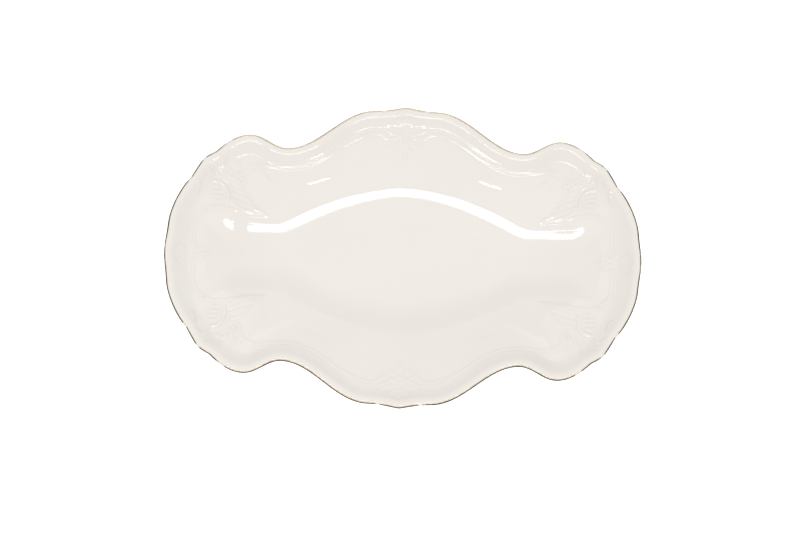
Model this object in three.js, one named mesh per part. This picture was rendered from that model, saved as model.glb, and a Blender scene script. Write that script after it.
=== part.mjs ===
// A free-standing china serving platter: a four-lobed dish with a pinched waist on each long
// side, a moulded line inside its lip, a lens-shaped flat floor and a standing ring below.
// Millimetres, +X along the length, +Z up. The origin is the centre of the standing ring's face.
import * as THREE from 'three';

// Overall sizes, over the glaze and the gold.
const LENGTH = 340;
const WIDTH = 217;
const HEIGHT = 29;

// Walls and foot.
const FOOT_HEIGHT = 3.6;
const FOOT_WIDTH = 4.2;
const FOOT_HALF_LENGTH = 98;
const FOOT_HALF_WIDTH = 41;
const FLOOR_THICKNESS = 4.4;
const WALL_THICKNESS = 4;
const LIP_THICKNESS = 3.2;

// Section of the rim, measured inwards from the edge of the body and down from its top.
const EDGE_ROUND = 0.6;
const LIP_WIDTH = 3.4;
const LIP_FALL = 0.6;
const CAVETTO_FALL = 5.2;
const BEAD_WIDTH = 3.6;
const BEAD_HEIGHT = 0.6;

// The flat floor is a lens between two parabolas.
const FLOOR_HALF_LENGTH = 87;
const FLOOR_HALF_WIDTH = 31;

// Coats over the body: the glaze, which stops short of the standing face, and the gold line.
const GLAZE_THICKNESS = 0.25;
const GLAZE_STOP = 1;
const GILT_THICKNESS = 0.15;
const GILT_WIDTH = 1.3;

// Levels that follow from the sizes above.
const COATS = GLAZE_THICKNESS + GILT_THICKNESS;
const BODY_TOP = HEIGHT - COATS;
const FLOOR_LEVEL = FOOT_HEIGHT + FLOOR_THICKNESS;
const BEAD_LEVEL = BODY_TOP - LIP_FALL - CAVETTO_FALL;

// One quarter of the outline, from the tip of the long side to the tip of the end, drawn at a
// half length of 170 and a half width of 108.5. Each stretch is a cubic: its handles, its end
// point, and how many facets it is cut into.
const DRAWN_HALF_LENGTH = 170;
const DRAWN_HALF_WIDTH = 108.5;
const SIDE_TIP = [0, 108.5];
const STRETCHES = [
  { name: 'side brace', handles: [[7, 107.2], [14, 105.6]], end: [22, 105.5], facets: 3 },
  { name: 'flank', handles: [[46, 105.3], [62, 76.6]], end: [84.8, 76.6], facets: 6 },
  { name: 'waist', handles: [[94, 76.6], [101.5, 85.9]], end: [110.8, 85.9], facets: 3 },
  { name: 'ear', handles: [[119, 85.9], [127, 81.5]], end: [135.5, 73], facets: 3 },
  { name: 'inner corner lobe', handles: [[138.2, 71.6], [141.6, 70.2]], end: [143.8, 67.9], facets: 1 },
  { name: 'outer corner lobe', handles: [[146.2, 65.4], [150, 58.5]], end: [152.5, 54], facets: 2 },
  { name: 'shoulder of the end', handles: [[158.5, 48.3], [166.2, 34]], end: [167.8, 22], facets: 3 },
  { name: 'end brace', handles: [[168.5, 14], [168.4, 6]], end: [170, 0], facets: 2 },
];

// What the section does at the side tip and at the end of each stretch above:
// along  - where it meets the floor, as a share of the floor's half length
// bead   - how far inside the edge the moulded line runs
// crease - where the flange breaks into the cove, as a share of the way from the edge to the floor
// rise   - height of that break, as a share of the height of the moulded line over the floor
const SECTIONS = [
  { along: 0, bead: 14.6, crease: 0.733, rise: 0.3 },
  { along: 0.15, bead: 14.6, crease: 0.726, rise: 0.31 },
  { along: 0.69, bead: 13.3, crease: 0.604, rise: 0.55 },
  { along: 0.81, bead: 17.5, crease: 0.515, rise: 0.76 },
  { along: 0.89, bead: 20, crease: 0.385, rise: 0.9 },
  { along: 0.92, bead: 21, crease: 0.357, rise: 0.93 },
  { along: 0.95, bead: 21, crease: 0.359, rise: 0.94 },
  { along: 0.985, bead: 20, crease: 0.354, rise: 0.93 },
  { along: 1, bead: 19.5, crease: 0.361, rise: 0.93 },
];

// The cove is a power curve: close to a parabola at the sides, nearly straight at the ends.
const COVE_POWER_ENDS = 1.4;
const COVE_POWER_SIDES = 2;

function sectionBetween(edge, before, after, share) {
  const ease = THREE.MathUtils.smoothstep(share, 0, 1);
  const between = (key) => THREE.MathUtils.lerp(before[key], after[key], ease);
  const along = THREE.MathUtils.lerp(before.along, after.along, share);
  const floor = new THREE.Vector2(along * FLOOR_HALF_LENGTH, (1 - along * along) * FLOOR_HALF_WIDTH);
  const run = edge.distanceTo(floor);
  const crease = between('crease') * run;
  return { along, edge, floor, run, crease, bead: between('bead'), rise: between('rise') };
}

function quarterSections() {
  const scaleX = (LENGTH / 2 - COATS) / DRAWN_HALF_LENGTH;
  const scaleY = (WIDTH / 2 - COATS) / DRAWN_HALF_WIDTH;
  const sized = ([x, y]) => new THREE.Vector2(x * scaleX, y * scaleY);
  const sections = [];
  let start = SIDE_TIP;
  STRETCHES.forEach((stretch, index) => {
    const points = [start, ...stretch.handles, stretch.end].map(sized);
    const curve = new THREE.CubicBezierCurve(...points);
    for (let facet = 0; facet < stretch.facets; facet += 1) {
      const share = facet / stretch.facets;
      const edge = curve.getPointAt(share);
      sections.push(sectionBetween(edge, SECTIONS[index], SECTIONS[index + 1], share));
    }
    start = stretch.end;
  });
  sections.push(sectionBetween(sized(start), SECTIONS.at(-1), SECTIONS.at(-1), 0));
  return sections;
}

// Every section of the dish, anticlockwise from the +Y tip: the quarter and its mirror images.
function allSections() {
  const quarter = quarterSections();
  const mirrored = (signX, signY) => quarter.map((section) => ({
    ...section,
    signs: [signX, signY],
    edge: new THREE.Vector2(section.edge.x * signX, section.edge.y * signY),
    floor: new THREE.Vector2(section.floor.x * signX, section.floor.y * signY),
  }));
  const runs = [
    mirrored(-1, 1),
    mirrored(-1, -1).reverse(),
    mirrored(1, -1),
    mirrored(1, 1).reverse(),
  ];
  const round = runs.flatMap((run) => run.slice(0, -1));
  addInwardDirections(round);
  return round;
}

// Square to the edge, evened out over the neighbours so that the corners open like a fan.
function addInwardDirections(round) {
  const count = round.length;
  const neighbours = (index) => [round[(index + count - 1) % count], round[(index + 1) % count]];
  round.forEach((section, index) => {
    const [behind, ahead] = neighbours(index);
    const tangent = ahead.edge.clone().sub(behind.edge);
    section.square = new THREE.Vector2(-tangent.y, tangent.x).normalize();
  });
  round.forEach((section, index) => {
    const [behind, ahead] = neighbours(index);
    section.inward = behind.square.clone().add(ahead.square).addScaledVector(section.square, 2);
    section.inward.normalize();
  });
}

// Plan point at a distance inside the edge: it leaves square to the edge and bends to the floor.
function planPoint(section, distance) {
  const share = distance / section.run;
  const square = section.edge.clone().addScaledVector(section.inward, distance);
  const straight = section.edge.clone().lerp(section.floor, share);
  return square.lerp(straight, THREE.MathUtils.smoothstep(share, 0, 0.6));
}

function ring(sections, place) {
  return sections.map((section) => {
    const [distance, level] = place(section);
    const plan = planPoint(section, distance);
    return new THREE.Vector3(plan.x, plan.y, level);
  });
}

const creaseLevel = (section) => THREE.MathUtils.lerp(FLOOR_LEVEL, BEAD_LEVEL, section.rise);

// Level of the cove, at a share of the way from the floor up to the crease.
function coveLevel(section, share) {
  const sideways = THREE.MathUtils.clamp((1 - section.rise) / (1 - SECTIONS[0].rise), 0, 1);
  const power = THREE.MathUtils.lerp(COVE_POWER_ENDS, COVE_POWER_SIDES, sideways);
  return THREE.MathUtils.lerp(FLOOR_LEVEL, creaseLevel(section), share ** power);
}

const coveRun = (section) => section.run - section.crease;
const coveDistance = (section, share) => section.run - coveRun(section) * share;
const cavettoDistance = (section, share) =>
  THREE.MathUtils.lerp(LIP_WIDTH, section.bead - BEAD_WIDTH / 2, share);

// The upper surface, from the floor out to the lip.
function upperRings(sections) {
  return [
    ring(sections, (section) => [section.run, FLOOR_LEVEL]),
    ring(sections, (section) => [coveDistance(section, 0.38), coveLevel(section, 0.38)]),
    ring(sections, (section) => [coveDistance(section, 0.7), coveLevel(section, 0.7)]),
    ring(sections, (section) => [section.crease, creaseLevel(section)]),
    ring(sections, (section) => [section.bead + BEAD_WIDTH / 2, BEAD_LEVEL - BEAD_HEIGHT / 2]),
    ring(sections, (section) => [section.bead, BEAD_LEVEL + BEAD_HEIGHT]),
    ring(sections, (section) => [section.bead - BEAD_WIDTH / 2, BEAD_LEVEL]),
    ring(sections, (section) => [cavettoDistance(section, 0.42), BODY_TOP - LIP_FALL - CAVETTO_FALL * 0.66]),
    ring(sections, () => [LIP_WIDTH, BODY_TOP - LIP_FALL]),
    ring(sections, () => [GILT_WIDTH, BODY_TOP]),
  ];
}

// The rounded edge of the lip, from above to below.
function edgeRings(sections) {
  return [
    ring(sections, () => [EDGE_ROUND / 2, BODY_TOP - EDGE_ROUND / 2]),
    ring(sections, () => [0, BODY_TOP - LIP_THICKNESS / 2]),
    ring(sections, () => [EDGE_ROUND, BODY_TOP - LIP_THICKNESS]),
  ];
}

// The underside, from the lip in to the crease.
function underRings(sections) {
  const cavettoLevel = BODY_TOP - LIP_FALL - CAVETTO_FALL * 0.66;
  return [
    ring(sections, (section) => [cavettoDistance(section, 0.3), cavettoLevel - WALL_THICKNESS]),
    ring(sections, (section) => [section.bead, BEAD_LEVEL - WALL_THICKNESS]),
    ring(sections, (section) => [section.crease, creaseLevel(section) - FLOOR_THICKNESS]),
  ];
}

// The standing ring is an oval: its outer wall, its flat face and its inner wall.
function footRings(sections) {
  const inner = FOOT_WIDTH;
  const wall = (inset, level) => sections.map((section) => {
    const x = (FOOT_HALF_LENGTH - inset) * section.along * section.signs[0];
    const y = (FOOT_HALF_WIDTH - inset) * Math.sqrt(1 - section.along ** 2) * section.signs[1];
    const lift = level === 'under the cove' ? undersideLevel(section, x, y) : level;
    return new THREE.Vector3(x, y, lift);
  });
  return [
    wall(-EDGE_ROUND, 'under the cove'),
    wall(0, GLAZE_STOP),
    wall(EDGE_ROUND / 2, 0),
    wall(inner - EDGE_ROUND / 2, 0),
    wall(inner, GLAZE_STOP),
    wall(inner + EDGE_ROUND, FOOT_HEIGHT),
  ];
}

function undersideLevel(section, x, y) {
  const outset = section.floor.distanceTo(new THREE.Vector2(x, y));
  return coveLevel(section, outset / coveRun(section)) - FLOOR_THICKNESS;
}

// Two triangles for each facet of the band between two rings, which start at the given corners.
function bandFaces(near, far, count) {
  const faces = [];
  for (let column = 0; column < count; column += 1) {
    const next = (column + 1) % count;
    faces.push([near + column, far + column, far + next]);
    faces.push([near + column, far + next, near + next]);
  }
  return faces;
}

// Faces straight across a ring, which close it, seen from above.
function closingFaces(start, count) {
  const faces = [];
  for (let step = 0; step < count / 2; step += 1) {
    const left = [start + step, start + step + 1];
    const right = [start + (count - step) % count, start + count - step - 1];
    faces.push([left[0], left[1], right[1]], [left[0], right[1], right[0]]);
  }
  return faces.filter((face) => new Set(face).size === 3);
}

function sheetFaces(start, rows, count) {
  const faces = [];
  for (let row = 0; row + 1 < rows; row += 1) {
    faces.push(...bandFaces(start + row * count, start + (row + 1) * count, count));
  }
  return faces;
}

const turnedOver = (faces) => faces.map(([a, b, c]) => [a, c, b]);

function meshGeometry(rings, faces) {
  const geometry = new THREE.BufferGeometry();
  const coordinates = rings.flat().flatMap((point) => point.toArray());
  geometry.setAttribute('position', new THREE.Float32BufferAttribute(coordinates, 3));
  geometry.setIndex(faces.flat());
  geometry.computeVertexNormals();
  return geometry;
}

function bodyGeometry(rings) {
  const count = rings[0].length;
  const last = (rings.length - 1) * count;
  return meshGeometry(rings, [
    ...closingFaces(0, count),
    ...sheetFaces(0, rings.length, count),
    ...turnedOver(closingFaces(last, count)),
  ]);
}

// The body's rings moved outwards, square to its surface.
function raisedRings(rings, thickness) {
  const normals = bodyGeometry(rings).getAttribute('normal');
  const count = rings[0].length;
  return rings.map((points, row) => points.map((point, column) => {
    const normal = new THREE.Vector3().fromBufferAttribute(normals, row * count + column);
    return point.clone().addScaledVector(normal, thickness);
  }));
}

// A coat between two sheets of rings that lie over each other, open, or closed across its first
// or its last ring.
function coatGeometry(lower, upper, closedAt) {
  const count = lower[0].length;
  const rows = lower.length;
  const upperStart = rows * count;
  const lastRow = (rows - 1) * count;
  const faces = [
    ...turnedOver(sheetFaces(0, rows, count)),
    ...sheetFaces(upperStart, rows, count),
  ];
  if (closedAt === 'first') {
    faces.push(...turnedOver(closingFaces(0, count)), ...closingFaces(upperStart, count));
  } else {
    faces.push(...bandFaces(0, upperStart, count));
  }
  if (closedAt === 'last') {
    faces.push(...closingFaces(lastRow, count), ...turnedOver(closingFaces(upperStart + lastRow, count)));
  } else {
    faces.push(...bandFaces(upperStart + lastRow, lastRow, count));
  }
  return meshGeometry([...lower, ...upper], faces);
}

function bareChina() {
  return new THREE.MeshStandardMaterial({ color: 0xe9e2d6, roughness: 0.85, metalness: 0 });
}

function clearGlaze() {
  return new THREE.MeshStandardMaterial({ color: 0xf1ece5, roughness: 0.08, metalness: 0 });
}

function brightGold() {
  return new THREE.MeshStandardMaterial({ color: 0xc59a4a, roughness: 0.22, metalness: 1 });
}

function namedMesh(name, geometry, material) {
  const mesh = new THREE.Mesh(geometry, material);
  mesh.name = name;
  return mesh;
}

function buildPlatter() {
  const sections = allSections();
  const upper = upperRings(sections);
  const edge = edgeRings(sections);
  const under = underRings(sections);
  const foot = footRings(sections);
  const body = [...upper, ...edge, ...under, ...foot];
  const glazed = raisedRings(body, GLAZE_THICKNESS);
  const gilded = raisedRings(body, COATS);

  const outerStop = body.indexOf(foot[1]) + 1;
  const innerStop = body.indexOf(foot[4]);
  const gold = [body.indexOf(upper.at(-1)), body.indexOf(edge[1]) + 1];

  const platter = new THREE.Group();
  platter.add(namedMesh('porcelain_body', bodyGeometry(body), bareChina()));
  platter.add(namedMesh(
    'glaze_coat',
    coatGeometry(body.slice(0, outerStop), glazed.slice(0, outerStop), 'first'),
    clearGlaze(),
  ));
  platter.add(namedMesh(
    'base_glaze',
    coatGeometry(body.slice(innerStop), glazed.slice(innerStop), 'last'),
    clearGlaze(),
  ));
  platter.add(namedMesh(
    'gilt_line',
    coatGeometry(glazed.slice(...gold), gilded.slice(...gold), 'none'),
    brightGold(),
  ));
  return platter;
}

export default buildPlatter();
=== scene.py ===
"""China serving platter: a lobed dish with moulded relief, a bare standing ring and a gold line."""
import math

import bpy
import numpy as np
from bpy.props import FloatProperty, FloatVectorProperty, PointerProperty
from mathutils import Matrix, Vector


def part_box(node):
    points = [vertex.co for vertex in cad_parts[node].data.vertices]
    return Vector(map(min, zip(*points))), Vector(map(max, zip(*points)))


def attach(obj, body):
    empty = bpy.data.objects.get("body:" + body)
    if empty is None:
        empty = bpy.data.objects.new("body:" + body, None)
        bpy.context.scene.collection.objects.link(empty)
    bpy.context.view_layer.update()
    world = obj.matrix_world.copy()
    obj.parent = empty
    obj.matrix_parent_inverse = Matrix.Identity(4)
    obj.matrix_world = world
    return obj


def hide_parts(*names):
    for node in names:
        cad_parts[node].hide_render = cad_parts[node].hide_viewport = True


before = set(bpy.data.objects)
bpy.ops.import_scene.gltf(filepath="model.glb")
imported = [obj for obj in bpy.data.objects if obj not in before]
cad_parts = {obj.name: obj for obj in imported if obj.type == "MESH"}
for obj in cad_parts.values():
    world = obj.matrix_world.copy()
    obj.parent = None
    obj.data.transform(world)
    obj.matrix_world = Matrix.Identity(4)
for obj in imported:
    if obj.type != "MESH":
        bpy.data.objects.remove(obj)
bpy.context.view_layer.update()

bl_info = {
    "name": "China serving platter",
    "version": (1, 0, 0),
    "blender": (4, 5, 0),
    "location": "3D View > Sidebar > Platter",
    "description": "Builds a lobed porcelain platter with moulded relief and a gold edge line",
    "category": "Add Mesh",
}

GLAZE_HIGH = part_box("glaze_coat")[1]
BASE_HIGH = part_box("base_glaze")[1]

# Shapes are worked out in millimetres and become metres when a mesh is laid.
MM = 0.001
# Points nearer together than this, in metres, are one.
WELD = 2e-6

# How far out from the floor the wall's profile is worked out.
WALL_REACH = 120

# One quarter of the outline, from the tip of the long side to the tip of the end, drawn at a half
# length of 170 and a half width of 108.5. Each stretch is a cubic: its two handles, its end, and
# the number of columns of faces across it, which is highest where the relief is finest.
DRAWN_HALF_LENGTH = 170.0
DRAWN_HALF_WIDTH = 108.5
SIDE_TIP = (0.0, 108.5)
STRETCHES = (
    ("side brace", (7, 107.2), (14, 105.6), (22, 105.5), 34),
    ("flank", (46, 105.3), (62, 76.6), (84.8, 76.6), 32),
    ("waist", (94, 76.6), (101.5, 85.9), (110.8, 85.9), 22),
    ("ear", (119, 85.9), (127, 81.5), (135.5, 73), 42),
    ("inner corner lobe", (138.2, 71.6), (141.6, 70.2), (143.8, 67.9), 14),
    ("outer corner lobe", (146.2, 65.4), (150, 58.5), (152.5, 54), 24),
    ("shoulder of the end", (158.5, 48.3), (166.2, 34), (167.8, 22), 42),
    ("end brace", (168.6, 12), (170, 7), (170, 0), 32),
)

# The section at the side tip and at the end of each stretch: where it meets the floor as a share
# of the floor's half length, the depth of the rim moulding inside the edge, the crease where the
# flange breaks into the well and the inner end of the finely meshed band as shares of the way to
# the floor, and how soft the crease is, from 0 for the sides to 1 for the ends.
SECTION_KEYS = ("along", "bead", "crease", "fine", "softness")
SECTIONS = (
    (0.00, 17.0, 0.670, 0.690, 0.00),
    (0.15, 15.2, 0.665, 0.690, 0.00),
    (0.69, 14.0, 0.520, 0.720, 0.60),
    (0.81, 22.6, 0.400, 0.700, 0.60),
    (0.89, 22.0, 0.560, 0.690, 0.50),
    (0.92, 22.0, 0.550, 0.660, 0.50),
    (0.95, 21.5, 0.460, 0.620, 0.70),
    (0.985, 20.0, 0.330, 0.500, 1.00),
    (1.00, 19.5, 0.330, 0.480, 1.00),
)


def smooth_step(low, high, value):
    share = np.clip((value - low) / (high - low), 0.0, 1.0)
    return share * share * (3.0 - 2.0 * share)


def mix(low, high, share):
    return low + (high - low) * share


def soft_lower(first, second, soft):
    """The lower of two surfaces, rounded where they cross."""
    share = np.clip(0.5 + (second - first) / soft / 2, 0, 1)
    return mix(second, first, share) - soft * share * (1 - share)


# ---------------------------------------------------------------- the dish as sections

def cubic_points(points, shares):
    """Points of a cubic curve, evenly spaced along its length."""
    start, first, second, end = (np.array(point, float) for point in points)

    def at(share):
        share = share[:, None]
        back = 1 - share
        return (back ** 3 * start + 3 * back ** 2 * share * first
                + 3 * back * share ** 2 * second + share ** 3 * end)

    fine = np.linspace(0, 1, 201)
    steps = np.linalg.norm(np.diff(at(fine), axis=0), axis=1)
    reach = np.concatenate([[0], np.cumsum(steps)])
    return at(np.interp(shares * reach[-1], reach, fine))


class Dish:
    """One quarter of the dish as columns of section data, all in millimetres."""

    def __init__(self, settings, density=1.0):
        self.settings = settings
        half_length = GLAZE_HIGH.x / MM
        half_width = GLAZE_HIGH.y / MM
        scale = np.array([half_length / DRAWN_HALF_LENGTH, half_width / DRAWN_HALF_WIDTH])
        self.top = GLAZE_HIGH.z / MM
        self.floor_level = (BASE_HIGH.z + settings.floor_wall) / MM
        edges = []
        values = []
        start = SIDE_TIP
        for index, (_, first, second, end, columns) in enumerate(STRETCHES):
            count = 2 * max(1, round(columns * density / 2))
            shares = np.arange(count) / count
            edges.append(cubic_points((start, first, second, end), shares) * scale)
            before = np.array(SECTIONS[index])
            after = np.array(SECTIONS[index + 1])
            eased = smooth_step(0, 1, shares)[:, None]
            between = mix(before, after, eased)
            between[:, 0] = mix(before[0], after[0], shares)
            values.append(between)
            start = end
        edges.append(np.array([start]) * scale)
        values.append(np.array([SECTIONS[-1]]))
        self.edge = np.concatenate(edges)
        self.soften_edge()
        for key, column in zip(SECTION_KEYS, np.concatenate(values).T):
            setattr(self, key, column)
        self.find_floor()
        self.find_inward()
        self.find_levels()

    def find_floor(self):
        half_length = self.settings.floor_half_length / MM
        half_width = self.settings.floor_half_width / MM
        self.floor = np.stack([self.along * half_length, (1 - self.along ** 2) * half_width], 1)
        self.run = np.linalg.norm(self.edge - self.floor, axis=1)
        self.crease = self.crease * self.run
        self.fine = self.fine * self.run

    def edge_and_neighbours(self):
        """The quarter's edge with its mirror images on both sides, and places along it."""
        steps = np.linalg.norm(np.diff(self.edge, axis=0), axis=1)
        reach = np.concatenate([[0], np.cumsum(steps)])
        whole = np.concatenate([
            (self.edge * (-1, 1))[:0:-1], self.edge, (self.edge * (1, -1))[-2::-1]])
        place = np.concatenate([-reach[:0:-1], reach, 2 * reach[-1] - reach[-2::-1]])
        return reach, whole, place

    def evened(self, values, reach, place, spread):
        """A running average of values along the edge, with a bell-shaped weight."""
        weight = np.exp(-((reach[:, None] - place[None, :]) / spread) ** 2 / 2) * np.gradient(place)
        return weight @ values / weight.sum(1)[:, None]

    def soften_edge(self):
        """Rounds the outline's points a little, and keeps its overall size."""
        reach, whole, place = self.edge_and_neighbours()
        size = np.array([self.edge[-1, 0], self.edge[0, 1]])
        self.edge = self.evened(whole, reach, place, self.settings.point_rounding / MM)
        self.edge *= size / np.array([self.edge[-1, 0], self.edge[0, 1]])

    def find_inward(self):
        """Directions square to the edge, evened out so that the corners open like a fan."""
        reach, whole, place = self.edge_and_neighbours()
        tangent = np.gradient(whole, axis=0)
        square = np.stack([tangent[:, 1], -tangent[:, 0]], 1)
        square /= np.linalg.norm(square, axis=1)[:, None]
        inward = self.evened(square, reach, place, self.settings.fan_spread / MM)
        self.inward = inward / np.linalg.norm(inward, axis=1)[:, None]
        self.reach = reach

    def find_levels(self):
        """Fall of the rim's surface below the top of the lip, by depth, from its slopes."""
        rim = self.settings
        roll = rim.edge_roll / MM
        cavetto_end = mix(rim.cavetto_width, rim.cavetto_width_ends, self.softness) / MM
        crease_level = self.well_level(self.plan(self.crease[None, :]))[0]
        self.table_depth = []
        self.table_fall = []
        for column, crease in enumerate(self.crease):
            depths = np.array([roll, rim.lip_width / MM, rim.cavetto_steepest / MM,
                               cavetto_end[column] - rim.cavetto_turn / MM, cavetto_end[column],
                               crease, crease + rim.flange_fade / MM])
            slopes = np.array([0.0, rim.lip_slope, rim.cavetto_slope, rim.cavetto_slope_inner,
                               0.0, 0.0, 0.0])
            cavetto_fall = ((slopes[1:5] + slopes[:4]) / 2 * np.diff(depths[:5])).sum()
            flange_run = crease - depths[4] + (depths[4] - depths[3]) / 2
            slopes[4:6] = (self.top - crease_level[column] - cavetto_fall) / flange_run
            depth = np.linspace(roll, self.run[column], 600)
            slope = np.interp(depth, depths, slopes)
            fall = np.cumsum((slope[1:] + slope[:-1]) / 2) * (depth[1] - depth[0])
            self.table_depth.append(depth)
            self.table_fall.append(np.concatenate([[0], fall]))

    def well_level(self, plan):
        """Level of the well: a lens-shaped floor, walls that rise off it, and raised ends."""
        well = self.settings
        x, y = np.abs(plan[..., 0]), np.abs(plan[..., 1])
        half_length = well.floor_half_length / MM
        lens = (1 - (x / half_length) ** well.lens_power) * well.floor_half_width / MM
        keel = well.keel_rounding / MM
        lens = (lens + np.sqrt(lens ** 2 + keel ** 2)) / 2
        trough_start, trough_end = well.trough_start / MM, well.trough_end / MM
        lens += well.trough_half_width / MM * smooth_step(trough_start, trough_end, x)
        tighter = smooth_step(0.9 * half_length, 1.15 * half_length, x)
        narrowing = 1 + well.end_tightening * tighter
        off = np.clip((y - lens) * narrowing - well.end_offset / MM * tighter, 0, None)
        grid = np.linspace(0, WALL_REACH, 4 * WALL_REACH + 1)
        cove = well.cove_radius / MM
        slope = well.cove_slope * grid / np.sqrt(grid ** 2 + cove ** 2)
        height = np.concatenate([[0], np.cumsum((slope[1:] + slope[:-1]) / 2) * grid[1]])
        slope *= smooth_step(well.ledge_start / MM, well.ledge_end / MM, grid) * well.ledge_share
        ledge = np.concatenate([[0], np.cumsum((slope[1:] + slope[:-1]) / 2) * grid[1]])
        beyond = np.clip(x - half_length, 0, None)
        end_radius = well.end_radius / MM
        end_rise = well.end_slope * (np.sqrt(beyond ** 2 + end_radius ** 2) - end_radius)
        wall = np.interp(off, grid, height)
        wall -= np.interp(off, grid, ledge)
        return self.floor_level + wall / narrowing + end_rise

    def plan(self, depth):
        """Plan points at depths inside the edge, one row of depths for each ring."""
        share = depth / self.run
        square = self.edge + self.inward * depth[..., None]
        straight = mix(self.edge, self.floor, share[..., None])
        return mix(square, straight, smooth_step(0, 0.6, share)[..., None])

    def level(self, depth):
        """Level of the smooth upper surface at depths inside the edge."""
        roll = self.settings.edge_roll / MM
        half_edge = self.settings.edge_thickness / MM / 2
        level = np.empty_like(depth)
        for column in range(depth.shape[1]):
            level[:, column] = self.top - np.interp(
                depth[:, column], self.table_depth[column], self.table_fall[column])
        well = self.well_level(self.plan(depth))
        # Towards the edge the well is lifted clear, so that it can't cut into the rim.
        well += self.top * (1 - smooth_step(0.35, 0.8, depth / self.crease))
        soft = mix(self.settings.crease_softness, self.settings.crease_softness_ends, self.softness)
        level = soft_lower(level, well, soft / MM)
        across = np.clip(1 - depth / roll, 0, 1)
        bulge = self.settings.edge_bulge
        return level - half_edge * (1 - (1 - across ** bulge) ** (1 / bulge))


# ---------------------------------------------------------------- moulded relief

def smooth_path(points, step=0.5):
    """A Catmull-Rom curve through given points, in steps of about half a millimetre."""
    points = np.array(points, float)
    ends = np.concatenate([2 * points[:1] - points[1:2], points, 2 * points[-1:] - points[-2:-1]])
    path = []
    for index in range(len(points) - 1):
        before, start, end, after = ends[index:index + 4]
        count = max(2, int(np.linalg.norm(end - start) / step))
        share = (np.arange(count) / count)[:, None]
        path.append(0.5 * (2 * start + (end - before) * share
                           + (2 * before - 5 * start + 4 * end - after) * share ** 2
                           + (3 * start - before - 3 * end + after) * share ** 3))
    path.append(points[-1:])
    return np.concatenate(path)


def near_path(plan, path, margin):
    """Which plan points lie near a path, how far off it they are, and how far along it."""
    low = path.min(0) - margin
    high = path.max(0) + margin
    chosen = np.nonzero(((plan > low) & (plan < high)).all(-1))
    points = plan[chosen]
    start = path[:-1]
    step = path[1:] - start
    length = np.linalg.norm(step, axis=1)
    reach = np.concatenate([[0], np.cumsum(length)])
    from_start = points[:, None, :] - start[None, :, :]
    share = np.clip((from_start * step).sum(-1) / (length ** 2), 0, 1)
    off = np.linalg.norm(from_start - share[..., None] * step, axis=-1)
    nearest = off.argmin(1)
    row = np.arange(len(points))
    along = (reach[nearest] + share[row, nearest] * length[nearest]) / reach[-1]
    return chosen, off[row, nearest], along


class Relief:
    """Heights of the relief over one quarter of the dish, in millimetres."""

    def __init__(self, plan):
        self.plan = plan
        self.height = np.zeros(plan.shape[:-1])

    def raise_to(self, chosen, height):
        self.height[chosen] = np.maximum(self.height[chosen], height)

    def ridge(self, points, width=1.2, height=0.5, taper=(0.0, 0.0)):
        """A rounded moulding along a path; a taper is the share of it that thins to nothing."""
        chosen, off, along = near_path(self.plan, smooth_path(points), width)
        full = np.ones_like(along)
        if taper[0]:
            full *= smooth_step(0, taper[0], along)
        if taper[1]:
            full *= smooth_step(0, taper[1], 1 - along)
        across = np.clip(off / (width * np.maximum(full, 0.25)), 0, 1)
        self.raise_to(chosen, height * full * (1 - across ** 2) ** 1.5)

    def leaf(self, points, width, height, rib=0.35, base=0.3):
        """A leaf from its base to its tip, with a groove along its middle."""
        chosen, off, along = near_path(self.plan, smooth_path(points), width)
        swell = np.sin(np.pi * np.clip(along, 0, 1) ** 0.75) ** 0.7
        half = np.maximum(width * np.maximum(swell, base * (1 - along)), 0.05)
        across = np.clip(off / half, 0, 1)
        groove = 1 - rib * np.exp(-(across / 0.22) ** 2)
        shape = (1 - across ** 2.5) ** 1.2 * groove
        self.raise_to(chosen, height * shape * np.clip(half / width * 1.4, 0, 1))

    def blossom(self, centre, radius, petals, height, turn=0.0):
        """Petals round a bead."""
        offset = self.plan - np.array(centre, float)
        chosen = np.nonzero(np.linalg.norm(offset, axis=-1) < radius * 1.2)
        offset = offset[chosen]
        out = np.linalg.norm(offset, axis=-1) / radius
        angle = np.arctan2(offset[:, 1], offset[:, 0]) + turn
        lobe = np.abs(np.cos(angle * petals / 2))
        across = np.clip(out / (0.62 + 0.38 * lobe), 0, 1)
        petal = (1 - across ** 3) * (0.35 + 0.65 * lobe) * smooth_step(0.05, 0.45, out)
        bead = np.clip(1 - (out / 0.3) ** 2, 0, 1) ** 0.8
        self.raise_to(chosen, height * np.maximum(petal, 1.15 * bead))


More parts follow.
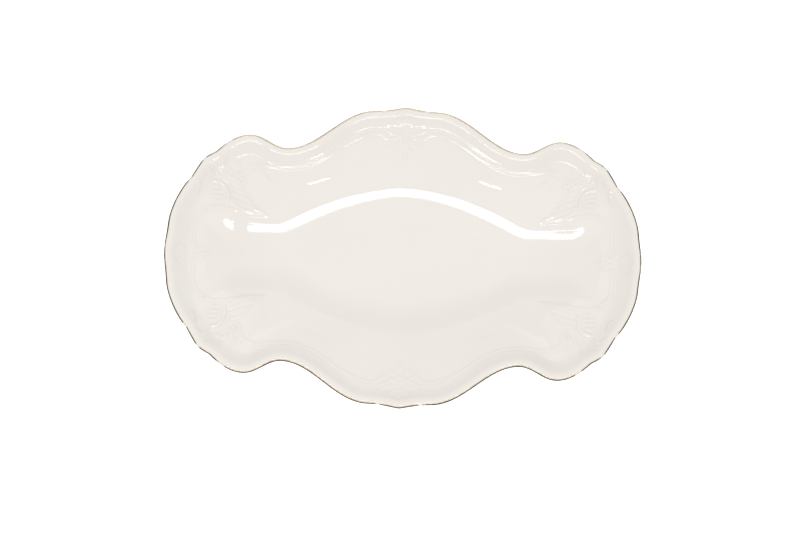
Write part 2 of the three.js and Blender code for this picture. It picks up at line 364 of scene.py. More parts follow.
def side_cartouche(relief):
    """Crossing mouldings with a palmette inside them and a small shell towards the lip."""
    for offset, width, height in ((0.0, 1.3, 0.6), (2.6, 0.9, 0.35)):
        relief.ridge([
            (48, 78.4 + offset), (42, 81.6 + offset), (35, 85.7 + offset), (28, 88.3 + offset),
            (21, 89.8 + offset), (17.5, 89.4 + offset * 0.7), (14.5, 87.2 + offset * 0.5),
            (12, 86.0), (9, 86.2), (6, 87.2), (3, 89.2), (0, 91.2)],
            width, height, (0.0, 0.06))
    relief.ridge([(17.5, 93.6), (14.5, 92.4), (11, 90.8), (7, 89), (3.5, 87.2), (0, 85.4)],
                 1.1, 0.6, (0.12, 0.0))
    relief.ridge([(18.5, 96.0), (14, 95.3), (9, 93.4), (4.5, 91.8), (0, 93.6)], 0.8, 0.35, (0.15, 0))
    relief.leaf([(0, 85.6), (0, 80), (0, 71.5)], 2.2, 0.6)
    relief.leaf([(2.6, 85.6), (4.8, 82.5), (8.8, 79.6)], 1.8, 0.65)
    relief.leaf([(7, 86), (10.5, 85), (14.6, 82)], 1.5, 0.5)
    relief.ridge([(0, 73), (0, 67.5)], 0.9, 0.22, (0.0, 0.8))
    for tip_x, tip_y in ((0, 101.6), (3.6, 101.2), (7, 99.8), (9.6, 97.4)):
        relief.leaf([(tip_x * 0.25, 94.4), (tip_x * 0.7, 98.2), (tip_x, tip_y)], 1.5, 0.5, 0.2)
    relief.ridge([(0, 102.9), (4, 102.4), (8, 100.9), (11, 98.4), (12.5, 95.6)], 0.8, 0.35, (0, 0.3))


def end_cartouche(relief):
    """The same motif, smaller, inside the tip of each end."""
    for offset, width, height in ((0.0, 1.2, 0.5), (2.4, 0.8, 0.3)):
        relief.ridge([
            (139.5 + offset * 0.3, 31.2), (143.5 + offset * 0.6, 29.4), (147.4 + offset, 25.5),
            (149.2 + offset, 20), (149.4 + offset, 14), (149.2 + offset, 9.5),
            (147.8 + offset * 0.7, 6.4), (145.8, 5.2), (145.4, 3.6), (147, 2.0), (150, 0)],
            width, height, (0.08, 0.05))
    relief.ridge([(153.5, 10.5), (151.5, 6.5), (148, 3.4), (145, 0)], 1.0, 0.5, (0.15, 0.0))
    relief.leaf([(145, 0), (142, 0), (137.6, 0)], 1.6, 0.45)
    relief.leaf([(145.4, 1.6), (143.4, 3.2), (140.6, 5.2)], 1.2, 0.45)
    for tip_x, tip_y in ((163.2, 0), (162.8, 2.8), (161.2, 5.4), (158.8, 7.4)):
        relief.leaf([(154, tip_y * 0.25), (158.5, tip_y * 0.7), (tip_x, tip_y)], 1.2, 0.42, 0.2)
    relief.ridge([(164.6, 0), (164, 3.2), (162.2, 6.4), (159.4, 9), (156.4, 10.2)], 0.8, 0.3, (0, 0.3))


def rim_moulding(relief, dish):
    """The double line along the flank and round the waist, which curls under at the corner."""
    chosen = (dish.edge[:, 0] > 50) & (dish.edge[:, 0] < 106)
    for offset, width, height in ((0.0, 1.3, 0.6), (2.6, 0.9, 0.35)):
        depth = np.where(chosen, dish.bead - offset, 0)[None, :]
        line = dish.plan(depth)[0][chosen]
        start = [(42, 81.6 + offset)]
        end = [(107.5, 63.2 + offset * 0.8), (112, 61.4 + offset * 0.4), (114.4, 58),
               (115, 53.5), (117, 49.8), (121, 48)]
        relief.ridge(start + [tuple(point) for point in line[::3]] + end,
                     width, height, (0.0, 0.06))


def corner_spray(relief):
    """Scrolls, three blossoms and two acanthus lobes that run from the corner to the floor."""
    relief.ridge([(126.5, 36.8), (125.8, 41), (126.4, 45.4), (128.4, 49.2), (132, 51.7),
                  (136.6, 52.6), (140.4, 51.8)], 1.4, 0.9, (0.1, 0.25))
    relief.ridge([(124.3, 38.5), (123.4, 43), (124, 47.6), (126.2, 51.8), (130.2, 54.4),
                  (135, 55.4)], 0.9, 0.5, (0.15, 0.3))
    for y, inner, outer in ((37.4, 128.6, 136.5), (40.8, 128.4, 139.5), (44.2, 129.2, 140.5),
                            (47.6, 131, 139.5)):
        relief.leaf([(inner, y), ((inner + outer) / 2, y + 0.7), (outer, y - 0.4)], 1.1, 0.55, 0.0)
    relief.blossom((119, 55.6), 4.6, 5, 0.9, 0.3)
    relief.blossom((130, 60.2), 3.8, 5, 0.75, 0.9)
    relief.blossom((138.4, 58.8), 3.8, 6, 0.75, 0.2)
    relief.leaf([(122.6, 57.8), (125, 60), (126.8, 63.4)], 1.6, 0.5)
    relief.leaf([(118.4, 60.4), (118.4, 64), (120.4, 68.2)], 1.5, 0.5)
    relief.leaf([(130.6, 63.8), (130, 67), (127.2, 70)], 1.4, 0.45)
    relief.leaf([(134.2, 62), (136.8, 64.6), (139.8, 65.2)], 1.4, 0.45)
    relief.leaf([(142, 57.6), (144.8, 56.2), (146.6, 53.4)], 1.4, 0.45)
    relief.ridge([(122.8, 54.4), (126.2, 56.6), (128, 58.6)], 0.8, 0.4, (0.2, 0.2))
    relief.ridge([(133.4, 59), (134.8, 58), (136, 57.8)], 0.8, 0.4, (0.2, 0.2))
    relief.ridge([(152.6, 40.4), (149.4, 43), (147.2, 46.6), (146.8, 50.4), (148.6, 53.8)],
                 1.2, 0.6, (0.25, 0.25))
    relief.ridge([(139.5, 31.2), (137.2, 32.8), (137.4, 34.8), (139.8, 35.4)], 1.1, 0.5, (0, 0.3))
    relief.ridge([(146.2, 30.6), (140, 33.2), (130, 33.6), (120, 32), (110, 29.6), (99, 28.2)],
                 1.1, 0.55, (0.1, 0.25))
    relief.leaf([(125.5, 39.6), (112, 33.6), (96, 28.8)], 4.2, 0.8, 0.45)
    relief.leaf([(123.5, 43.6), (115, 40.6), (105.4, 36)], 2.3, 0.65, 0.4)
    relief.leaf([(121.4, 46.6), (115.6, 44.8), (109.6, 41.6)], 1.6, 0.45, 0.3)


def relief_height(dish, plan):
    relief = Relief(plan)
    rim_moulding(relief, dish)
    side_cartouche(relief)
    relief.height *= dish.settings.side_relief
    end_cartouche(relief)
    corner_spray(relief)
    return relief.height * dish.settings.relief_strength


# ---------------------------------------------------------------- rings of points

def upper_depths(dish):
    """Depths of the rings of the upper surface, from the edge to the floor, one row each."""
    rim = dish.settings
    roll = rim.edge_roll / MM
    count = len(dish.run)
    band_start = rim.relief_start / MM
    rolled = roll * (1 - np.cos(np.linspace(0, math.pi / 2, 6)))
    rows = [np.full(count, depth) for depth in rolled]
    rows += [np.full(count, depth) for depth in np.linspace(roll, band_start, 9)[1:]]
    rows += [mix(band_start, dish.fine, share) for share in np.linspace(0, 1, 49)[1:]]
    rows += [mix(dish.fine, dish.run, share) for share in np.linspace(0, 1, 15)[1:]]
    return np.array(rows)


def with_level(plan, level):
    return np.concatenate([plan, level[..., None]], -1)


def upper_rings(dish, relief=True):
    """The upper surface from the edge to the floor's own middle line, and its relief heights."""
    depth = upper_depths(dish)
    plan = dish.plan(depth)
    height = relief_height(dish, plan) if relief else np.zeros(depth.shape)
    rings = with_level(plan, dish.level(depth) + height)
    shares = np.linspace(0, 1, 6)[1:]
    flat = np.array([dish.floor * (1, 1 - share) for share in shares])
    flat = with_level(flat, np.full(flat.shape[:2], dish.floor_level))
    heights = np.concatenate([height, np.zeros(flat.shape[:2])])
    return np.concatenate([rings, flat]), heights


def foot_outline(dish, outset):
    """The standing ring's oval in plan, so far outside its inner wall, at each column."""
    across = np.sqrt(np.clip(1 - dish.along ** 2, 0, 1))
    half_length = BASE_HIGH.x / MM + outset
    half_width = BASE_HIGH.y / MM + outset
    return np.stack([half_length * dish.along, half_width * across], 1)


def under_rings(dish, count):
    """The underside from below the edge to the top of the fillet over the standing ring."""
    rim = dish.settings
    roll = rim.edge_roll / MM
    edge_thickness = rim.edge_thickness / MM
    turns = np.radians((25, 55, 90))
    rings = []
    for turn in turns:
        depth = np.full((1, len(dish.run)), roll * (1 - math.cos(turn)))
        level = np.full(depth.shape, dish.top - edge_thickness / 2 * (1 + math.sin(turn)))
        rings.append(with_level(dish.plan(depth), level)[0])
    fillet = rim.foot_fillet / MM
    foot = foot_outline(dish, (rim.foot_width + rim.foot_fillet) / MM)
    reach = dish.run - np.linalg.norm(foot - dish.floor, axis=1)
    shares = np.linspace(0, 1, count)[1:] ** 1.25
    depth = np.array([mix(roll, reach, share) for share in shares])
    shift = foot - dish.plan(reach[None, :])[0]
    plan = dish.plan(depth) + shift * smooth_step(0.5, 1, shares)[:, None, None]
    wall = np.interp(depth, (roll, 9, 40), (edge_thickness, rim.wall / MM, rim.floor_wall / MM))
    rings.extend(with_level(plan, dish.level(depth) - wall))
    top = rings[-1][:, 2]
    for turn in np.radians((30, 60, 90)):
        outset = rim.foot_width / MM + fillet * (1 - math.sin(turn))
        level = top - fillet * (1 - math.cos(turn))
        rings.append(with_level(foot_outline(dish, outset), level))
    return np.array(rings)


def level_ring(plan, level):
    return with_level(plan, np.full(len(plan), level))


# ---------------------------------------------------------------- mesh work

def deselect_all():
    if bpy.context.mode != "OBJECT":
        bpy.ops.object.mode_set(mode="OBJECT")
    bpy.ops.object.select_all(action="DESELECT")


def laid_grid(name, rings, attributes=None):
    """A flat grid, laid over rings of points given in millimetres, with values for its material."""
    deselect_all()
    rows, columns = rings.shape[:2]
    bpy.ops.mesh.primitive_grid_add(x_subdivisions=columns - 1, y_subdivisions=rows - 1, size=2)
    piece = bpy.context.active_object
    piece.name = name
    piece.data.name = name
    flat = np.empty(len(piece.data.vertices) * 3)
    piece.data.vertices.foreach_get("co", flat)
    flat = flat.reshape(-1, 3)
    column = np.rint((flat[:, 0] + 1) / 2 * (columns - 1)).astype(int)
    row = np.rint((flat[:, 1] + 1) / 2 * (rows - 1)).astype(int)
    piece.data.vertices.foreach_set("co", (rings[row, column] * MM).ravel())
    for key, values in (attributes or {}).items():
        attribute = piece.data.attributes.new(key, "FLOAT", "POINT")
        attribute.data.foreach_set("value", values[row, column].astype(np.float32))
    piece.data.update()
    return piece, row, column


def thin_columns(piece, row, column, first_row):
    """Dissolves every other column of faces beyond a row."""
    mesh = piece.data
    ends = np.empty(len(mesh.edges) * 2, int)
    mesh.edges.foreach_get("vertices", ends)
    ends = ends.reshape(-1, 2)
    lengthways = column[ends[:, 0]] == column[ends[:, 1]]
    odd = column[ends[:, 0]] % 2 == 1
    beyond = row[ends].min(1) >= first_row
    select_edges(piece, lengthways & odd & beyond)
    bpy.ops.mesh.dissolve_edges(use_verts=True)
    bpy.ops.object.mode_set(mode="OBJECT")


def select_edges(piece, chosen):
    """Enters edit mode with only these edges selected."""
    mesh = piece.data
    mesh.vertices.foreach_set("select", np.zeros(len(mesh.vertices), bool))
    mesh.polygons.foreach_set("select", np.zeros(len(mesh.polygons), bool))
    mesh.edges.foreach_set("select", chosen)
    bpy.ops.object.mode_set(mode="EDIT")
    bpy.context.tool_settings.mesh_select_mode = (False, True, False)


def apply_modifier(piece, kind, **settings):
    modifier = piece.modifiers.new(kind.title(), kind)
    for key, value in settings.items():
        setattr(modifier, key, value)
    bpy.ops.object.modifier_apply(modifier=modifier.name)


def mirrored_whole(piece):
    """The other three quarters, welded to the first."""
    apply_modifier(piece, "MIRROR", use_axis=(True, True, False), merge_threshold=WELD)


def finished(piece):
    """Welds doubles, closes open borders, turns the faces outwards and smooths the shading."""
    bpy.ops.object.mode_set(mode="EDIT")
    bpy.ops.mesh.select_all(action="SELECT")
    bpy.ops.mesh.remove_doubles(threshold=WELD)
    bpy.ops.mesh.dissolve_degenerate(threshold=WELD)
    bpy.ops.mesh.select_all(action="DESELECT")
    bpy.context.tool_settings.mesh_select_mode = (False, True, False)
    bpy.ops.mesh.select_non_manifold(extend=False, use_wire=False, use_boundary=True,
                                     use_multi_face=False, use_non_contiguous=False,
                                     use_verts=False)
    bpy.ops.mesh.edge_face_add()
    bpy.ops.mesh.select_all(action="SELECT")
    bpy.ops.mesh.normals_make_consistent(inside=False)
    bpy.ops.object.mode_set(mode="OBJECT")
    bpy.ops.object.shade_smooth()


def handed_over(piece, material, slot, *nodes):
    piece.data.materials.clear()
    piece.data.materials.append(material)
    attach(piece, "root")
    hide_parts(*nodes)


# ---------------------------------------------------------------- finishes

def new_group(name, inputs, outputs):
    """An empty shader node group with its sockets, and its two end nodes."""
    group = bpy.data.node_groups.new(name, "ShaderNodeTree")
    for key, kind, default in inputs:
        socket = group.interface.new_socket(key, in_out="INPUT", socket_type=kind)
        if default is not None:
            socket.default_value = default
    for key, kind in outputs:
        group.interface.new_socket(key, in_out="OUTPUT", socket_type=kind)
    start = group.nodes.new("NodeGroupInput")
    end = group.nodes.new("NodeGroupOutput")
    return group, start, end


def add_node(tree, kind, **settings):
    node = tree.nodes.new(kind)
    for key, value in settings.items():
        if key in node.inputs:
            node.inputs[key].default_value = value
        else:
            setattr(node, key, value)
    return node


def math_node(tree, operation, first, second):
    node = add_node(tree, "ShaderNodeMath", operation=operation)
    for socket, value in zip(node.inputs, (first, second)):
        if isinstance(value, (int, float)):
            socket.default_value = value
        else:
            tree.links.new(value, socket)
    return node.outputs[0]


def mapped(tree, value, low, high, low_out, high_out):
    node = tree.nodes.new("ShaderNodeMapRange")
    node.inputs["From Min"].default_value = low
    node.inputs["From Max"].default_value = high
    node.inputs["To Min"].default_value = low_out
    node.inputs["To Max"].default_value = high_out
    tree.links.new(value, node.inputs["Value"])
    return node.outputs["Result"]


def mixed_colour(tree, share, first, second, blend="MIX"):
    node = tree.nodes.new("ShaderNodeMix")
    node.data_type = "RGBA"
    node.blend_type = blend
    for socket, value in ((node.inputs[0], share), (node.inputs[6], first), (node.inputs[7], second)):
        if isinstance(value, bpy.types.NodeSocket):
            tree.links.new(value, socket)
        elif isinstance(value, (int, float)):
            socket.default_value = value
        else:
            socket.default_value = (*value[:3], 1.0)
    return node.outputs[2]


def noise(tree, vector, scale, detail=2.0, roughness=0.5):
    node = add_node(tree, "ShaderNodeTexNoise", Scale=scale, Detail=detail, Roughness=roughness)
    tree.links.new(vector, node.inputs["Vector"])
    return node.outputs["Fac"]


def kiln_clouds():
    """Very soft, broad clouds of tone, as an even firing still leaves."""
    group, start, end = new_group(
        "kiln_clouds", (("Vector", "NodeSocketVector", None),), (("Mask", "NodeSocketFloat"),))
    broad = noise(group, start.outputs["Vector"], 9.0, 2.0)
    fine = noise(group, start.outputs["Vector"], 60.0, 3.0)
    both = math_node(group, "ADD", math_node(group, "MULTIPLY", broad, 0.7),
                     math_node(group, "MULTIPLY", fine, 0.3))
    group.links.new(mapped(group, both, 0.35, 0.65, 0.0, 1.0), end.inputs["Mask"])
    return group


def kiln_specks():
    """Tiny scattered specks: Size is the share of each cell's width that a speck may fill."""
    group, start, end = new_group(
        "kiln_specks",
        (("Vector", "NodeSocketVector", None), ("Scale", "NodeSocketFloat", 90.0),
         ("Size", "NodeSocketFloat", 0.05), ("Share", "NodeSocketFloat", 0.2)),
        (("Mask", "NodeSocketFloat"),))
    cells = group.nodes.new("ShaderNodeTexVoronoi")
    group.links.new(start.outputs["Vector"], cells.inputs["Vector"])
    group.links.new(start.outputs["Scale"], cells.inputs["Scale"])
    red = group.nodes.new("ShaderNodeSeparateColor")
    group.links.new(cells.outputs["Color"], red.inputs["Color"])
    size = math_node(group, "MULTIPLY", red.outputs["Green"], start.outputs["Size"])
    near = math_node(group, "LESS_THAN", cells.outputs["Distance"], size)
    picked = math_node(group, "LESS_THAN", red.outputs["Red"], start.outputs["Share"])
    group.links.new(math_node(group, "MULTIPLY", near, picked), end.inputs["Mask"])
    return group


def glaze_waves():
    """Slow waves in a poured glaze, with a faint orange peel over them."""
    group, start, end = new_group(
        "glaze_waves",
        (("Vector", "NodeSocketVector", None), ("Wave", "NodeSocketFloat", 1.0),
         ("Peel", "NodeSocketFloat", 0.1)),
        (("Height", "NodeSocketFloat"),))
    slow = noise(group, start.outputs["Vector"], 28.0, 1.0)
    peel = noise(group, start.outputs["Vector"], 420.0, 1.0)
    both = math_node(group, "ADD", math_node(group, "MULTIPLY", slow, start.outputs["Wave"]),
                     math_node(group, "MULTIPLY", peel, start.outputs["Peel"]))
    group.links.new(both, end.inputs["Height"])
    return group


def shared_group(maker):
    return bpy.data.node_groups.get(maker.__name__) or maker()


def placed_group(tree, maker, vector, **values):
    node = tree.nodes.new("ShaderNodeGroup")
    node.node_tree = shared_group(maker)
    tree.links.new(vector, node.inputs["Vector"])
    for key, value in values.items():
        node.inputs[key].default_value = value
    return node.outputs[0]


def new_material(name, **shader_values):
    material = bpy.data.materials.new(name)
    material.use_nodes = True
    tree = material.node_tree
    shader = tree.nodes["Principled BSDF"]
    for key, value in shader_values.items():
        shader.inputs[key.replace("_", " ")].default_value = value
    place = tree.nodes.new("ShaderNodeTexCoord").outputs["Object"]
    return material, tree, shader, place


def glazed_china(name, glaze, wave):
    """Ivory porcelain under a clear glaze, deeper where the glaze pools beside the relief, with painted
    shade in those recesses.
    """
    material, tree, shader, place = new_material(name, IOR=1.5)
    clouds = placed_group(tree, kiln_clouds, place)
    colour = mixed_colour(tree, clouds, glaze.colour, glaze.cloud_colour)
    # This attribute darkens the low ground beside the relief: partly glaze pooling there, partly painted
    # shade in those recesses.
    pool_and_shade = add_node(tree, "ShaderNodeAttribute", attribute_name="pool_and_shade").outputs["Fac"]
    colour = mixed_colour(tree, pool_and_shade, colour, glaze.pool_colour)
    specks = placed_group(tree, kiln_specks, place, Scale=70.0, Size=0.035, Share=0.12)
    colour = mixed_colour(tree, math_node(tree, "MULTIPLY", specks, 0.35), colour, glaze.speck_colour)
    tree.links.new(colour, shader.inputs["Base Color"])
    roughness = mapped(tree, clouds, 0.0, 1.0, glaze.roughness * 0.85, glaze.roughness * 1.3)
    tree.links.new(roughness, shader.inputs["Roughness"])
    waves = placed_group(tree, glaze_waves, place, Wave=wave, Peel=0.012)
    bump = add_node(tree, "ShaderNodeBump", Strength=1.0, Distance=0.0002)
    tree.links.new(waves, bump.inputs["Height"])
    tree.links.new(bump.outputs["Normal"], shader.inputs["Normal"])
    return material


def bare_china(foot):
    """Unglazed biscuit on the standing ring, with fine grit and handling marks."""
    material, tree, shader, place = new_material("bare_china", IOR=1.45)
    clouds = placed_group(tree, kiln_clouds, place)
    colour = mixed_colour(tree, clouds, foot.colour, foot.mark_colour)
    grit = noise(tree, place, 900.0, 4.0, 0.7)
    colour = mixed_colour(tree, mapped(tree, grit, 0.55, 0.75, 0.0, 0.5), colour, foot.mark_colour)
    specks = placed_group(tree, kiln_specks, place, Scale=260.0, Size=0.12, Share=0.25)
    colour = mixed_colour(tree, math_node(tree, "MULTIPLY", specks, 0.45), colour, foot.speck_colour)
    tree.links.new(colour, shader.inputs["Base Color"])
    tree.links.new(mapped(tree, grit, 0.3, 0.7, 0.62, 0.9), shader.inputs["Roughness"])
    bump = add_node(tree, "ShaderNodeBump", Strength=0.6, Distance=0.00008)
    tree.links.new(grit, bump.inputs["Height"])
    tree.links.new(bump.outputs["Normal"], shader.inputs["Normal"])
    return material


def bright_gold(gold):
    """Fired liquid gold, brushed on by hand: thin in places, so that it dulls and browns."""
    material, tree, shader, place = new_material("bright_gold")
    brushed = noise(tree, place, 55.0, 4.0, 0.6)
    thin = mapped(tree, brushed, 0.5, 0.72, 0.0, 1.0)
    colour = mixed_colour(tree, thin, gold.colour, gold.thin_colour)
    # Pale patches where the gold is rubbed away to the china; the same patches paint glints where the
    # edge changes direction.
    worn_and_glinting = add_node(tree, "ShaderNodeAttribute", attribute_name="worn_and_glinting").outputs["Fac"]
    streaks = mapped(tree, noise(tree, place, 340.0, 3.0, 0.65), 0.42, 0.58, 0.0, 1.0)
    bare = mapped(tree, worn_and_glinting, 0.6, 0.8, 0.0, 1.0)
    worn_and_glinting = math_node(tree, "MAXIMUM", math_node(tree, "MULTIPLY", worn_and_glinting, streaks), bare)
    colour = mixed_colour(tree, worn_and_glinting, colour, gold.worn_colour)
    tree.links.new(colour, shader.inputs["Base Color"])
    tree.links.new(mapped(tree, worn_and_glinting, 0.0, 1.0, 1.0, 0.1), shader.inputs["Metallic"])
    roughness = mapped(tree, brushed, 0.3, 0.7, gold.roughness * 0.7, gold.roughness * 1.5)
    tree.links.new(roughness, shader.inputs["Roughness"])
    bump = add_node(tree, "ShaderNodeBump", Strength=0.5, Distance=0.00003)
    tree.links.new(noise(tree, place, 700.0, 3.0), bump.inputs["Height"])
    tree.links.new(bump.outputs["Normal"], shader.inputs["Normal"])
    return material


# ---------------------------------------------------------------- settings

def length_property(name, description, default):
    return FloatProperty(name=name, description=description, default=default, min=0.0,
                         unit="LENGTH", precision=5)


def colour_property(name, description, default):
    return FloatVectorProperty(name=name, description=description, default=default, min=0.0,
                               max=1.0, size=3, subtype="COLOR")


class PlatterSection(bpy.types.PropertyGroup):
    """Sizes of the dish's section, measured over the glaze."""
    floor_half_length: length_property(
        "Floor half length", "Half the length of the flat lens-shaped floor", 0.087)
    floor_half_width: length_property(
        "Floor half width", "Half the width of the flat lens-shaped floor", 0.0285)
    lens_power: FloatProperty(
        name="Lens power", description="2 for a round lens, less for a pointed one", default=1.72)
    floor_wall: length_property("Floor wall", "Thickness of the floor", 0.00465)
    wall: length_property("Wall", "Thickness of the flange, straight down", 0.0042)
    edge_thickness: length_property("Edge thickness", "Thickness of the lip at its edge", 0.0032)
    edge_roll: length_property("Edge roll", "How far in the rounding of the edge reaches", 0.0018)
    edge_bulge: FloatProperty(
        name="Edge bulge", description="1 for a straight bevel, 2 for a round edge", default=1.4)
    point_rounding: length_property(
        "Point rounding", "How far along the edge its points are evened out", 0.0012)
    lip_width: length_property("Lip width", "How far in the flat of the lip reaches", 0.0034)
    lip_slope: FloatProperty(
        name="Lip slope", description="Slope of the lip at its inner border", default=0.2)
    cavetto_steepest: length_property(
        "Cavetto steepest", "Depth at which the hollow inside the lip is steepest", 0.0064)
    cavetto_slope: FloatProperty(
        name="Cavetto slope", description="Slope of the hollow at its steepest", default=0.68)
    cavetto_slope_inner: FloatProperty(
        name="Inner cavetto slope", description="Slope of the hollow before its border",
        default=0.46)
    cavetto_turn: length_property(
        "Cavetto turn", "How soon the hollow turns into the flange", 0.0014)
    cavetto_width: length_property("Cavetto width", "Inner border of the hollow, sides", 0.0125)
    cavetto_width_ends: length_property(
        "Cavetto width at the ends", "Inner border of the hollow, at the ends", 0.0165)
    flange_fade: length_property(
        "Flange fade", "How far past the crease the flange's slope would run out", 0.015)
    crease_softness: length_property(
        "Crease softness", "How much the break of the flange is rounded, sides", 0.00004)
    crease_softness_ends: length_property(
        "Crease softness at the ends", "How much it is rounded at the ends", 0.0004)
    cove_radius: length_property("Cove rounding", "How broadly the walls leave the floor", 0.0188)
    cove_slope: FloatProperty(
        name="Cove slope", description="Slope that the walls approach", default=0.5)
    ledge_share: FloatProperty(
        name="Ledge share", description="Share of the wall's slope lost above the ledge",
        default=0.4)
    ledge_start: length_property("Ledge start", "Where a tall wall starts to ease", 0.0235)
    ledge_end: length_property("Ledge end", "Where a tall wall has eased", 0.0250)
    keel_rounding: length_property("Keel rounding", "Rounding of the floor's two tips", 0.002)
    trough_start: length_property("Trough start", "Where the end trough starts to widen", 0.121)
    trough_end: length_property("Trough end", "Where the end trough is widest", 0.150)
    trough_half_width: length_property("Trough half width", "Its half width at the end", 0.020)
    end_tightening: FloatProperty(
        name="End tightening", description="How much tighter the end troughs curve", default=0.35)
    end_offset: length_property("End offset", "How far off the axis their walls start", 0.008)
    end_radius: length_property("End rounding", "How broadly the ends leave the floor", 0.024)
    end_slope: FloatProperty(
        name="End slope", description="Slope that the ends approach", default=0.374)
    fan_spread: length_property(
        "Fan spread", "How widely the directions across the rim are evened out", 0.006)
    relief_start: length_property("Relief start", "Depth at which the fine mesh starts", 0.009)
    relief_strength: FloatProperty(
        name="Relief strength", description="Scales the height of the relief", default=0.7)
    side_relief: FloatProperty(
        name="Side relief", description="Share of that height along the sides", default=0.72)
    foot_width: length_property("Foot width", "Thickness of the standing ring", 0.0042)
    foot_fillet: length_property("Foot fillet", "Rounding where the ring meets the dish", 0.002)
    glaze_stop: length_property(
        "Glaze stop", "Height above the standing face where the glaze ends", 0.001)


class PlatterGlaze(bpy.types.PropertyGroup):
    """The glazed china's finish."""
    colour: colour_property("Colour", "Ivory of the china under its glaze", (0.80, 0.765, 0.72))
    cloud_colour: colour_property("Cloud colour", "Tone of the soft clouds", (0.785, 0.748, 0.70))
    # Darker tone beside the relief: partly glaze lying deep, partly painted shade in the recesses.
    pool_colour: colour_property("Pool colour", "Tone where the glaze lies deep", (0.70, 0.66, 0.60))
    speck_colour: colour_property("Speck colour", "Kiln specks", (0.30, 0.22, 0.15))
    roughness: FloatProperty(name="Roughness", description="Gloss of the glaze", default=0.055)


class PlatterFoot(bpy.types.PropertyGroup):
    """The bare standing ring's finish."""
    colour: colour_property("Colour", "Bare china", (0.74, 0.69, 0.61))
    mark_colour: colour_property("Mark colour", "Handling marks", (0.56, 0.50, 0.42))
    speck_colour: colour_property("Speck colour", "Kiln grit", (0.18, 0.13, 0.09))


class PlatterGold(bpy.types.PropertyGroup):
    """The gold line's size and finish."""
    width: length_property("Width", "How far in from the edge the gold reaches", 0.00100)
    thickness: length_property("Thickness", "How far the gold stands over the glaze", 0.0001)
    waver: length_property("Waver", "How far the brushed border wanders", 0.00012)
    colour: colour_property("Colour", "Bright gold", (0.72, 0.60, 0.42))
    thin_colour: colour_property("Thin colour", "Gold where the brush left little", (0.44, 0.36, 0.27))
    # Pale tone of the rubbed patches, which also paints glints on the gold line.
    worn_colour: colour_property("Worn colour", "China that shows through worn gold", (0.80, 0.73, 0.64))
    roughness: FloatProperty(name="Roughness", description="Gloss of the gold", default=0.12)


class PlatterStage(bpy.types.PropertyGroup):
    """Camera, lights and floor."""
    distance: length_property("Distance", "Camera's distance from the rim's centre", 2.134)
    lens: FloatProperty(name="Lens", description="Focal length in millimetres", default=135.0)
    elevation: FloatProperty(
        name="Elevation", description="Camera above the horizon", default=math.radians(81),
        subtype="ANGLE")
    azimuth: FloatProperty(
        name="Azimuth", description="Camera round to the right", default=math.radians(1.46),
        subtype="ANGLE")
    aim_right: length_property("Aim right", "How far right of the view's middle the dish lies", 0.0019)
    aim_up: length_property("Aim up", "How far above the view's middle the dish lies", 0.0074)
    floor_colour: colour_property("Floor colour", "Pale floor", (0.90, 0.90, 0.90))
    key_elevation: FloatProperty(
        name="Strip elevation", description="Height of the long strip light over the horizon",
        default=math.radians(60.8), subtype="ANGLE")
    key_strength: FloatProperty(name="Strip power", description="Power in watts", default=6.2)
    key_length: length_property("Strip length", "Length of the strip light", 1.52)
    key_width: length_property("Strip width", "Width of the strip light", 0.145)
    key_distance: length_property("Strip distance", "How far off the dish the strip hangs", 1.7)
    key_shift: length_property("Strip shift", "How far left of the middle the strip hangs", 0.085)


# ---------------------------------------------------------------- operators

class PLATTER_OT_glazed_dish(bpy.types.Operator):
    """Lay the glazed dish over its sections, with its relief, down to the glaze stop"""
    bl_idname = "platter.glazed_dish"
    bl_label = "Glazed dish"

    def execute(self, context):
        settings = context.scene.platter_section
        dish = Dish(settings)
        upper, height = upper_rings(dish)
        under = under_rings(dish, 13)
        stop = settings.glaze_stop / MM
        foot = foot_outline(dish, settings.foot_width / MM)
        hidden = foot_outline(dish, settings.foot_width / MM / 2)
        behind_base_glaze = 1.2
        tail = np.array([level_ring(foot, mix(under[-1, 0, 2], stop, 0.5)), level_ring(foot, stop),
                         level_ring(hidden, stop),
                         level_ring(hidden, BASE_HIGH.z / MM + behind_base_glaze)])
        rings = np.concatenate([upper[::-1], under, tail])
        # Darkening beside the relief, laid as an attribute: glaze pooling and painted shade.
        pool_and_shade = np.concatenate([pooled(height)[::-1], np.zeros(under.shape[:2]),
                               np.zeros(tail.shape[:2])])
        piece, row, column = laid_grid("glaze_coat_dish", rings, {"pool_and_shade": pool_and_shade})
        thin_columns(piece, row, column, len(upper))
        mirrored_whole(piece)
        finished(piece)
        handed_over(piece, glazed_china("glazed_china", context.scene.platter_glaze, 0.5),
                    "clear_glaze", "glaze_coat")
        return {"FINISHED"}


def pooled(height):
    """Where glaze pools, and where shade is painted: the low ground close beside raised relief."""
    blurred = height.copy()
    for _ in range(3):
        padded = np.pad(blurred, 1, mode="edge")
        blurred = (padded[:-2, 1:-1] + padded[2:, 1:-1] + padded[1:-1, :-2] + padded[1:-1, 2:]
                   + padded[1:-1, 1:-1]) / 5
    strength = 3.5
    return np.clip((blurred - height) * strength, 0, 1)


